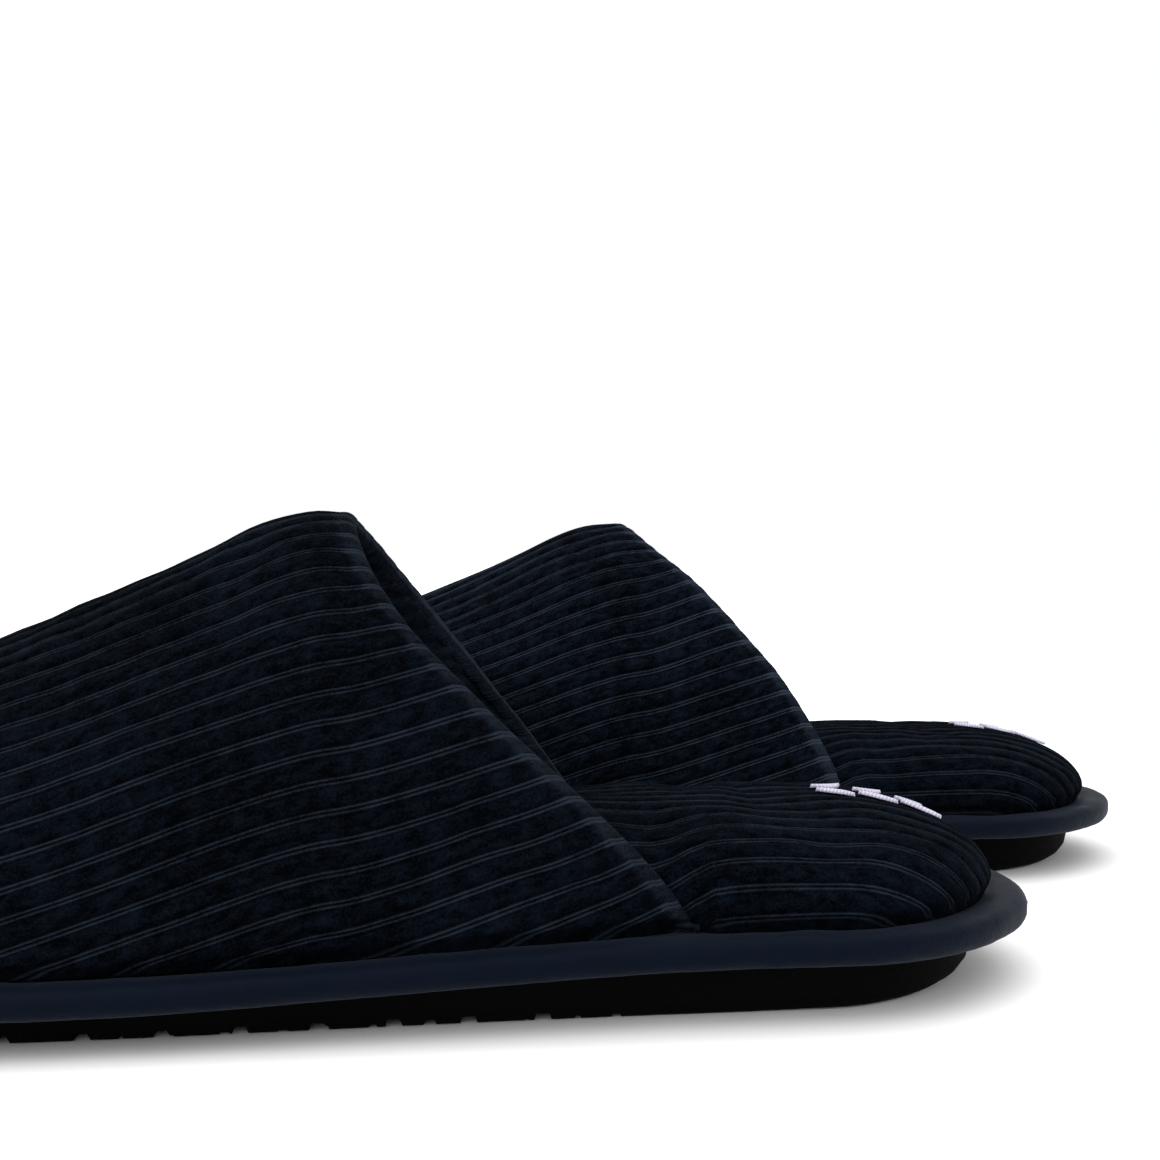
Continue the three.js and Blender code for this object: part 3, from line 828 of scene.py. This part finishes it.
def motif_mesh(side):
    """Three pairs of raised satin-stitched leaves on the heel."""
    skin = footbed_skin()
    leaves = np.array(LEAVES)

    def place(column, row):
        turn = (row % LEAF_ROWS) / (LEAF_ROWS - 1) * 2 - 1
        run = column / (LEAF_COLUMNS - 1) * 2 - 1
        middle_s, middle_y, lean, length, width = leaves[row // LEAF_ROWS].T
        half = width / 2 * np.maximum(1 - run**2, 0.0) ** 0.8
        bend = LEAF_BEND * (1 - run**2)
        local_s = run * length / 2
        local_y = turn * half + bend * np.sign(lean)
        along = middle_s + local_s * np.cos(lean) - local_y * np.sin(lean)
        across = middle_y + local_s * np.sin(lean) + local_y * np.cos(lean)
        lift = 0.85 + 0.7 * np.sqrt(np.maximum(1 - turn**2, 0)) * (half > 0.01)
        points = skin.raised(along, cloth_over(skin, along, across), lift)
        return points, np.column_stack([local_s * MM, local_y * MM, 0 * run])

    mesh = grid_mesh(f"{side}_heel_motif", LEAF_COLUMNS, LEAF_ROWS * len(leaves), place)
    bm = bmesh.new()
    bm.from_mesh(mesh)
    between = [face for face in bm.faces
               if len({v.index // LEAF_COLUMNS // LEAF_ROWS for v in face.verts}) > 1]
    bmesh.ops.delete(bm, geom=between, context="FACES")
    bm.to_mesh(mesh)
    bm.free()
    return mesh


# ---- shader maths ----
class Value:
    """A number from a socket, for writing shader maths as ordinary expressions."""

    def __init__(self, finish, socket):
        self.finish, self.socket = finish, socket

    def math(self, operation, first, second=0.0):
        return self.finish.node("ShaderNodeMath", {"operation": operation}, first, second)

    def __add__(self, other):
        return self.math("ADD", self, other)

    def __sub__(self, other):
        return self.math("SUBTRACT", self, other)

    def __rsub__(self, other):
        return self.math("SUBTRACT", other, self)

    def __mul__(self, other):
        return self.math("MULTIPLY", self, other)

    def __pow__(self, other):
        return self.math("POWER", self, other)

    __radd__, __rmul__ = __add__, __mul__


class Finish:
    """One material, and the nodes that make it."""

    def __init__(self, name, **constants):
        self.material = bpy.data.materials.new(name)
        self.material.use_nodes = True
        self.tree = self.material.node_tree
        self.shader = self.tree.nodes["Principled BSDF"]
        for socket, value in constants.items():
            self.shader.inputs[socket.replace("_", " ")].default_value = value

    def node(self, kind, settings=None, *values, output=0, **named):
        """Adds a node, sets it, feeds its sockets in order or by name, and gives one output."""
        made = self.tree.nodes.new(kind)
        for key, value in (settings or {}).items():
            setattr(made, key, value)
        for index, value in enumerate(values):
            if value is not None:
                self.feed(made.inputs[index], value)
        for name, value in named.items():
            self.feed(made.inputs[name.replace("_", " ")], value)
        return Value(self, made.outputs[output])

    def feed(self, socket, value):
        if isinstance(value, Value):
            self.tree.links.new(value.socket, socket)
        else:
            socket.default_value = value

    def noise(self, place, scale, detail, roughness):
        return self.node("ShaderNodeTexNoise", None, Vector=place, Scale=scale, Detail=detail,
                         Roughness=roughness)

    def blend(self, share, first, second):
        """A colour between two, on the Mix node's colour sockets, which are its last ones."""
        return self.node("ShaderNodeMix", {"data_type": "RGBA"}, share, *[None] * 5, first,
                         second, output=2)

    def bump(self, height, strength, distance, under=None):
        made = {"Strength": strength, "Distance": distance, "Height": height}
        if under is not None:
            made["Normal"] = under
        return self.node("ShaderNodeBump", None, **made)

    def clamp(self, value):
        return self.node("ShaderNodeClamp", None, value)

    def tone(self, share, tint, low, high):
        """Sets the base colour between a darker and a lighter tone of one tint."""
        self.to("Base Color", self.blend(self.clamp(share), colour(tint, low), colour(tint, high)))

    def split(self, vector):
        made = self.node("ShaderNodeSeparateXYZ", None, vector).socket.node
        return [Value(self, output) for output in made.outputs]

    def objects(self):
        return self.node("ShaderNodeTexCoord", None, output=3)

    def weave(self):
        return self.node("ShaderNodeAttribute", {"attribute_name": "weave"}, output=1)

    def to(self, socket, value):
        self.feed(self.shader.inputs[socket], value)


def colour(value, times=1.0):
    return (value[0] * times, value[1] * times, value[2] * times, 1.0)


def velour(name, tint, painted_light_gain):
    """Ribbed velour: brushed pile with patches lying different ways, and painted highlights on the
    fine cords, the turned edge and the hem.
    """
    cols = bpy.context.scene.slipper_colours
    finish = Finish(name, Sheen_Weight=cols.sheen, Sheen_Roughness=0.38,
                    Sheen_Tint=colour(cols.sheen_tint), Specular_IOR_Level=0.01)
    across, along, painted_highlight = finish.split(finish.weave())
    place = finish.objects()
    patches = finish.noise(place, 34.0, 4.0, 0.62)
    clump_place = finish.node("ShaderNodeCombineXYZ", None, across, along * 0.45, 0.0)
    clumps = finish.noise(clump_place, 620.0, 3.0, 0.65)
    fuzz = finish.noise(place, 2300.0, 2.0, 0.6)
    tone = patches * 1.1 + clumps * 2.2 + fuzz * 1.7 - 2.15
    # The gain scales the whole tone; above 1 it paints a lighter copy of the velour, as painted
    # light.
    ground = finish.blend(finish.clamp(tone), colour(tint, 0.3 * painted_light_gain), colour(tint, 3.0 * painted_light_gain))
    # Painted highlight: blends toward a lighter colour where the weave's third value is high, on
    # the fine cords, the turned edge and the hem.
    tips = painted_highlight ** 2.6 * (patches * 1.7 + fuzz * 1.4 + clumps * 1.6 - 1.55)
    finish.to("Base Color", finish.blend(finish.clamp(tips), ground, colour(cols.painted_highlight, painted_light_gain)))
    finish.to("Roughness", 0.78 + patches * 0.22)
    finish.to("Normal", finish.bump(fuzz * 0.5 + clumps * 0.9, 0.7, 0.0007))
    return finish.material


def mottled(name, tint, low, high, shift, rough, broad, fine, **constants):
    """Broad patches under a fine grain, each given as its noise, its share of the tone, its
    share of the roughness, and the strength and depth of its bump."""
    finish = Finish(name, **constants)
    place = finish.objects()
    patches, grain = finish.noise(place, *broad[0]), finish.noise(place, *fine[0])
    finish.tone(patches * broad[1] + grain * fine[1] - shift, tint, low, high)
    finish.to("Roughness", rough + patches * broad[2] + grain * fine[2])
    finish.to("Normal", finish.bump(grain, *fine[3], finish.bump(patches, *broad[3])))
    return finish.material


def band_cloth(name):
    cols = bpy.context.scene.slipper_colours
    return mottled(name, cols.binding, 0.6, 1.35, 0.3, 0.5,
                   ((70.0, 4.0, 0.6), 1.1, 0.2, (0.25, 0.0012)),
                   ((1500.0, 2.0, 0.6), 0.4, 0.0, (0.35, 0.0003)),
                   Sheen_Weight=0.06, Sheen_Roughness=0.45, Sheen_Tint=colour(cols.sheen_tint),
                   Specular_IOR_Level=0.08, Specular_Tint=colour(cols.sheen_tint, 1.45))


def tread_rubber(name):
    cols = bpy.context.scene.slipper_colours
    return mottled(name, cols.rubber, 0.6, 1.5, 0.3, 0.62,
                   ((45.0, 4.0, 0.6), 0.9, 0.0, (0.3, 0.002)),
                   ((900.0, 3.0, 0.7), 0.6, 0.3, (0.5, 0.0006)), Specular_IOR_Level=0.03)


def plush(name):
    cols = bpy.context.scene.slipper_colours
    return mottled(name, cols.lining, 0.5, 1.8, 0.4, 0.8,
                   ((60.0, 3.0, 0.6), 0.8, 0.2, (0.4, 0.003)),
                   ((420.0, 4.0, 0.7), 0.8, 0.0, (0.8, 0.0012)),
                   Sheen_Weight=0.05, Sheen_Roughness=0.5, Sheen_Tint=colour(cols.sheen_tint),
                   Specular_IOR_Level=0.03)


def satin_thread(name):
    cols = bpy.context.scene.slipper_colours
    finish = Finish(name, Sheen_Weight=0.2, Specular_IOR_Level=0.45)
    along, _, _ = finish.split(finish.weave())
    strands = finish.node("ShaderNodeMath", {"operation": "SINE"}, along * 9000.0)
    place = finish.objects()
    uneven = finish.noise(place, 700.0, 2.0, 0.6)
    finish.tone(strands * 0.35 + uneven * 0.8 + 0.1, cols.thread, 0.6, 1.1)
    finish.to("Roughness", 0.38 + uneven * 0.2)
    finish.to("Normal", finish.bump(strands, 0.5, 0.0003))
    return finish.material


def hidden_layer(name, tint, scale):
    """Pressed board or foam inside the sole: speckled and matte."""
    finish = Finish(name, Specular_IOR_Level=0.2)
    place = finish.objects()
    specks = finish.noise(place, scale, 4.0, 0.7)
    finish.to("Base Color", finish.blend(specks, colour(tint, 0.75), colour(tint, 1.2)))
    finish.to("Roughness", 0.75 + specks * 0.2)
    finish.to("Normal", finish.bump(specks, 0.4, 0.0006))
    return finish.material


def studio_paper(name):
    finish = Finish(name, Roughness=0.95, Specular_IOR_Level=0.0)
    tooth = finish.noise(finish.objects(), 30.0, 2.0, 0.5)
    white = bpy.context.scene.slipper_colours.floor
    finish.to("Base Color", finish.blend(tooth, colour(white, 0.995), colour(white)))
    return finish.material


def shared(make, name, *rest):
    """The material of that name, made the first time that it is asked for."""
    return bpy.data.materials.get(name) or make(name, *rest)


# ---- settings ----
def size_setting(name, description, default):
    return bpy.props.FloatProperty(name=name, description=description, default=default,
                                   min=0.0, subtype="DISTANCE", unit="LENGTH", precision=5)


def colour_setting(name, description, default):
    return bpy.props.FloatVectorProperty(name=name, description=description, default=default,
                                         size=3, min=0.0, max=1.0, subtype="COLOR")


class SlipperSizes(bpy.types.PropertyGroup):
    sole_heel: size_setting("Sole at heel", "Ground to the binding's underside at the heel", 0.0109)
    sole_fore: size_setting("Sole at ball", "Ground to the binding's underside at the ball", 0.0069)
    apex_at: size_setting("Apex position", "Heel tip to the highest place of the vamp", 0.134)
    apex_height: size_setting("Apex height", "Ground to the highest place of the vamp", 0.092)
    crown_heel: size_setting("Heel crown", "Footbed crown above the binding at the heel", 0.0175)
    crown_fore: size_setting("Ball crown", "Footbed crown above the binding at the ball", 0.009)
    rib_pitch: size_setting("Rib pitch", "From one broad wale to the next", 0.0051)
    wale_height: size_setting("Wale height", "Pile height of a broad wale", 0.0008)
    cord_height: size_setting("Cord height", "Pile height of the two fine cords", 0.00045)
    edge_round: size_setting("Mouth edge", "Radius of the padded edge round the mouth", 0.0026)


class SlipperColours(bpy.types.PropertyGroup):
    vamp: colour_setting("Vamp velour", "Colour of the ribbed cover", (0.0011, 0.0018, 0.0032))
    footbed: colour_setting("Footbed velour", "Colour of the ribbed footbed",
                            (0.0011, 0.0019, 0.0035))
    # Colour of the painted highlight on the fine cords, the mouth's turned edge and the hem.
    painted_highlight: colour_setting("Fine cords", "Colour of the worn tips of the cords",
                         (0.0150, 0.0200, 0.0290))
    binding: colour_setting("Binding", "Colour of the smooth edge binding",
                            (0.0009, 0.0024, 0.0068))
    rubber: colour_setting("Rubber", "Colour of the outsole", (0.0015, 0.0014, 0.0013))
    lining: colour_setting("Lining", "Colour of the plush inside", (0.0012, 0.0017, 0.0028))
    thread: colour_setting("Thread", "Colour of the embroidery", (0.62, 0.60, 0.76))
    sheen_tint: colour_setting("Sheen", "Tint of the pile's sheen", (0.34, 0.42, 0.56))
    floor: colour_setting("Floor", "Colour of the studio floor", (0.97, 0.97, 0.97))
    sheen: bpy.props.FloatProperty(name="Sheen amount", description="Strength of the sheen",
                                   default=0.015, min=0.0, max=1.0, subtype="FACTOR")


# ---- operators ----
class StageOperator(bpy.types.Operator):
    """Lay the pale studio floor, soft lights and the camera"""
    bl_idname = "slippers.stage"
    bl_label = "Stage"

    def execute(self, context):
        scene = context.scene
        bm = bmesh.new()
        bmesh.ops.create_grid(bm, x_segments=2, y_segments=2, size=14.0)
        mesh = bpy.data.meshes.new("studio_floor")
        bm.to_mesh(mesh)
        bm.free()
        floor = bpy.data.objects.new("studio_floor", mesh)
        scene.collection.objects.link(floor)
        mesh.materials.append(shared(studio_paper, "studio_paper"))
        for name, turn, spread, power in (("overhead_light", (8, -6, 0), 70, 0.8),
                                          ("front_light", (50, 0, -24), 60, 1.3)):
            data = bpy.data.lights.new(name, "SUN")
            data.energy, data.angle = power, math.radians(spread)
            lamp = bpy.data.objects.new(name, data)
            lamp.rotation_euler = [math.radians(angle) for angle in turn]
            scene.collection.objects.link(lamp)
        world = bpy.data.worlds.new("studio_air")
        world.use_nodes = True
        sky = world.node_tree.nodes["Background"]
        sky.inputs["Color"].default_value = (1.0, 1.0, 1.0, 1.0)
        sky.inputs["Strength"].default_value = 1.0
        scene.world = world
        scene.view_settings.view_transform = "Standard"
        scene.view_settings.look = "None"
        lens = bpy.data.cameras.new("camera")
        lens.sensor_width, lens.lens, lens.shift_y = 36.0, 46.15, -0.0207
        lens.clip_start = 0.02
        camera = bpy.data.objects.new("camera", lens)
        camera.location = (0.00045, -0.3503, 0.08176)
        camera.rotation_euler = Euler((math.pi / 2, 0, math.radians(-4.39)))
        scene.collection.objects.link(camera)
        scene.camera = camera
        return {"FINISHED"}


class OutsoleOperator(bpy.types.Operator):
    """Mould the rubber outsoles with their cross grooves"""
    bl_idname = "slippers.outsoles"
    bl_label = "Outsoles"

    def execute(self, context):
        rubber = shared(tread_rubber, "tread_rubber")
        for side in SIDES:
            add_piece("outsole_tread", outsole_mesh(side), side, ["outsole"],
                      rubber, flip=True)
        return {"FINISHED"}


class SoleLayersOperator(bpy.types.Operator):
    """Give the board and the foam sheet inside the binding their finishes"""
    bl_idname = "slippers.sole_layers"
    bl_label = "Sole layers"

    def execute(self, context):
        board = shared(hidden_layer, "pressed_board", (0.26, 0.2, 0.12), 500.0)
        foam = shared(hidden_layer, "foam_sheet", (0.55, 0.54, 0.5), 900.0)
        for side in SIDES:
            for node, material in (("insole_board", board), ("midsole_sheet", foam)):
                mesh = frame["nodes"][f"{side}_{node}"].data
                mesh.materials.clear()
                mesh.materials.append(material)
        return {"FINISHED"}


class BindingOperator(bpy.types.Operator):
    """Wrap the smooth fabric binding round the edge of the soles"""
    bl_idname = "slippers.bindings"
    bl_label = "Bindings"

    def execute(self, context):
        cloth = shared(band_cloth, "binding_cloth")
        for side in SIDES:
            add_piece("edge_binding", binding_mesh(side), side,
                      ["rim_binding"], cloth, flip=True)
        return {"FINISHED"}


class FootbedOperator(bpy.types.Operator):
    """Pad the footbeds and cover them in ribbed velour"""
    bl_idname = "slippers.footbeds"
    bl_label = "Footbeds"

    def execute(self, context):
        cols = context.scene.slipper_colours
        cloth = shared(velour, "footbed_velour", cols.footbed, 1.0)
        for side in SIDES:
            piece = add_piece("footbed", footbed_mesh(side), side,
                              ["footbed_cushion", "insole_cover"], cloth, 1.6)
        return {"FINISHED"}


class EmbroideryOperator(bpy.types.Operator):
    """Stitch the raised leaves on the heel of the footbeds"""
    bl_idname = "slippers.embroidery"
    bl_label = "Embroidery"

    def execute(self, context):
        thread = shared(satin_thread, "satin_thread")
        for side in SIDES:
            add_piece("heel_motif", motif_mesh(side), side,
                      ["heel_embroidery"], thread, 0.5)
        return {"FINISHED"}


class VampOperator(bpy.types.Operator):
    """Cut, pad and turn the ribbed vamps"""
    bl_idname = "slippers.vamps"
    bl_label = "Vamps"

    def execute(self, context):
        cols = context.scene.slipper_colours
        for side in SIDES:
            # Each side gets its own velour copy; the right one is painted lighter, as painted
            # light.
            cloth = shared(velour, f"vamp_velour_{side}", cols.vamp, PAINTED_LIGHT_BY_SIDE[side])
            piece = add_piece("vamp_cover", vamp_mesh(side), side,
                              ["vamp_outer", "vamp_padding"], cloth, 1.0)
        return {"FINISHED"}


class LiningOperator(bpy.types.Operator):
    """Line the vamps with plush and turn the hem inside the mouth"""
    bl_idname = "slippers.linings"
    bl_label = "Linings"

    def execute(self, context):
        cols = context.scene.slipper_colours
        pile = shared(plush, "lining_plush")
        # The hem velour is a lighter copy of the vamp's, painted light on the inner lip of the
        # mouth.
        cloth = shared(velour, "hem_velour", cols.vamp, 1.15)
        for side in SIDES:
            add_piece("lining", lining_mesh(side), side,
                      ["vamp_lining"], pile, 1.0, flip=True)
            add_piece("mouth_hem", hem_mesh(side), side,
                      ["topline_hem"], cloth, 0.8, flip=True)
        return {"FINISHED"}


class SlippersPanel(bpy.types.Panel):
    """Sizes, colours and building steps of the slippers"""
    bl_idname = "VIEW3D_PT_slippers"
    bl_label = "Ribbed Mule Slippers"
    bl_space_type = "VIEW_3D"
    bl_region_type = "UI"
    bl_category = "Slippers"

    def draw(self, context):
        for group in (context.scene.slipper_sizes, context.scene.slipper_colours):
            column = self.layout.column()
            for name in group.__annotations__:
                column.prop(group, name)
        for step in STEPS:
            self.layout.operator(step.bl_idname)


STEPS = (StageOperator, OutsoleOperator, SoleLayersOperator, BindingOperator,
         FootbedOperator, EmbroideryOperator, VampOperator, LiningOperator)
CLASSES = (SlipperSizes, SlipperColours, *STEPS, SlippersPanel)


def register():
    for cls in CLASSES:
        bpy.utils.register_class(cls)
    bpy.types.Scene.slipper_sizes = bpy.props.PointerProperty(type=SlipperSizes)
    bpy.types.Scene.slipper_colours = bpy.props.PointerProperty(type=SlipperColours)


def unregister():
    del bpy.types.Scene.slipper_sizes
    del bpy.types.Scene.slipper_colours
    for cls in reversed(CLASSES):
        bpy.utils.unregister_class(cls)


def main():
    register()
    bpy.ops.slippers.stage()
    bpy.ops.slippers.outsoles()
    bpy.ops.slippers.sole_layers()
    bpy.ops.slippers.bindings()
    bpy.ops.slippers.footbeds()
    bpy.ops.slippers.embroidery()
    bpy.ops.slippers.vamps()
    bpy.ops.slippers.linings()


if __name__ == "__main__":
    main()
